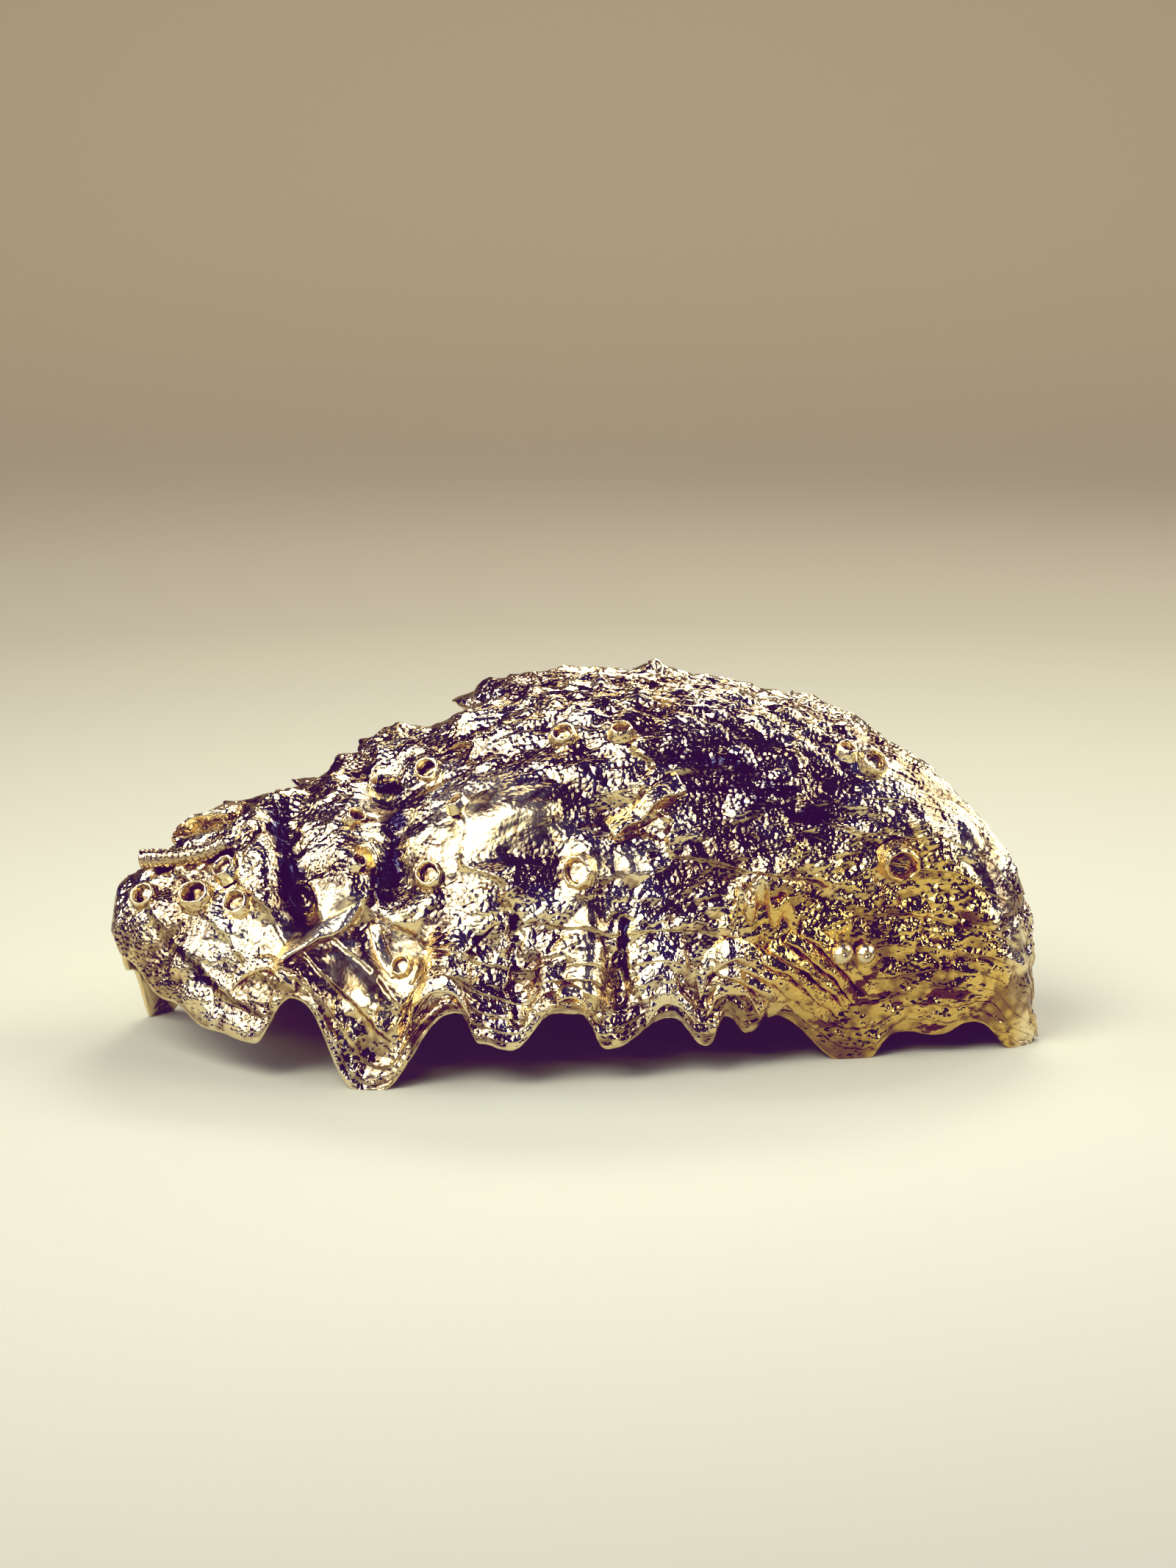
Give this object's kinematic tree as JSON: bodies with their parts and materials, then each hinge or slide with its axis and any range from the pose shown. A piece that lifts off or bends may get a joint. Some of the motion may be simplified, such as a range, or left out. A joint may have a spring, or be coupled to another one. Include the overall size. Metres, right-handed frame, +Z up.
{
  "type": "oyster shell",
  "caption": "Cupped oyster valve, gilded all over, lying hollow side down, with a fluted rim, stepped growth ledges, small barnacles and a worm tube.",
  "frame": {"origin": "middle of the underside of the bounding box, on the table", "axes": "+X along the shell from the bill to the beak, -Y towards the fluted side that the picture shows, +Z up"},
  "size_m": [0.1194, 0.0604, 0.0478],
  "materials": {
    "gilding": "polished gold plating over a rough shell"
  },
  "bodies": {
    "root": {"oyster_shell": "gilding"}
  },
  "joints": []
}
